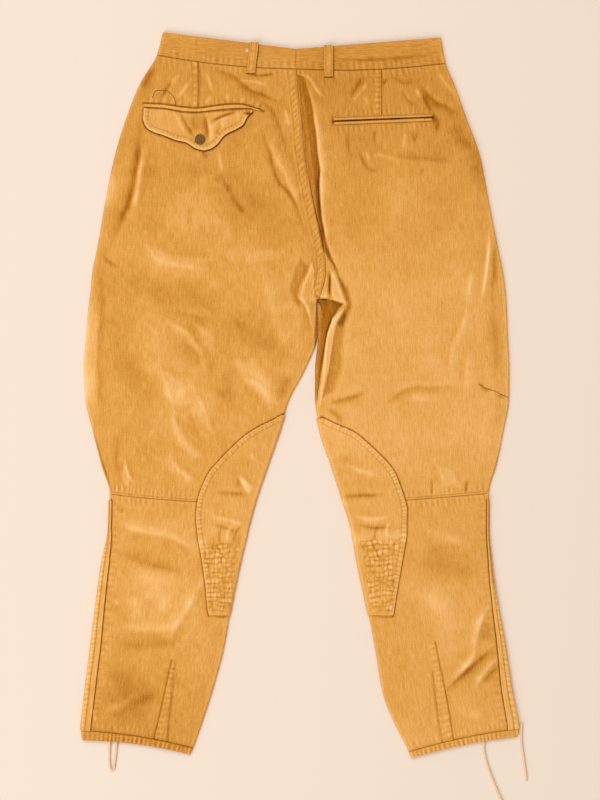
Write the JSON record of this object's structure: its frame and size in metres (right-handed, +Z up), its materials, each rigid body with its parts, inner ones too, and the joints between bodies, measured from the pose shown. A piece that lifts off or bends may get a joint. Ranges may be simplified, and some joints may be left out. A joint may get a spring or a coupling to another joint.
{
  "type": "jodhpurs",
  "caption": "Cotton twill jodhpurs laid flat, back side up: flap and welt pockets, quilted knee patches, belt loops and ankle laces.",
  "frame": {"origin": "bottom centre of the laid-out garment without its laces, on the surface it lies on", "axes": "+X towards the wearer's right, +Y from the hems to the waistband, +Z up out of the back of the garment"},
  "size_m": [0.6261, 1.0856, 0.0124],
  "materials": {
    "cotton_twill": "matt, washed",
    "horn_button": "satin",
    "lace_cotton": "matt"
  },
  "bodies": {
    "root": {"waistband_left": "cotton_twill", "waistband_right": "cotton_twill", "back_panel_left": "cotton_twill", "back_panel_right": "cotton_twill", "back_calf_left": "cotton_twill", "back_calf_right": "cotton_twill", "front_panel_left": "cotton_twill", "front_panel_right": "cotton_twill", "hem_back_left": "cotton_twill", "hem_front_left": "cotton_twill", "hem_back_right": "cotton_twill", "hem_front_right": "cotton_twill", "calf_placket_left": "cotton_twill", "calf_placket_right": "cotton_twill", "pocket_flap_left": "cotton_twill", "pocket_welt_left": "cotton_twill", "pocket_welt_right_upper": "cotton_twill", "pocket_welt_right_lower": "cotton_twill", "knee_patch_left": "cotton_twill", "knee_patch_right": "cotton_twill", "belt_loop_left": "cotton_twill", "belt_loop_right": "cotton_twill", "flap_button": "horn_button", "lace_left": "lace_cotton", "lace_right_long": "lace_cotton", "lace_right_short": "lace_cotton"}
  },
  "joints": []
}
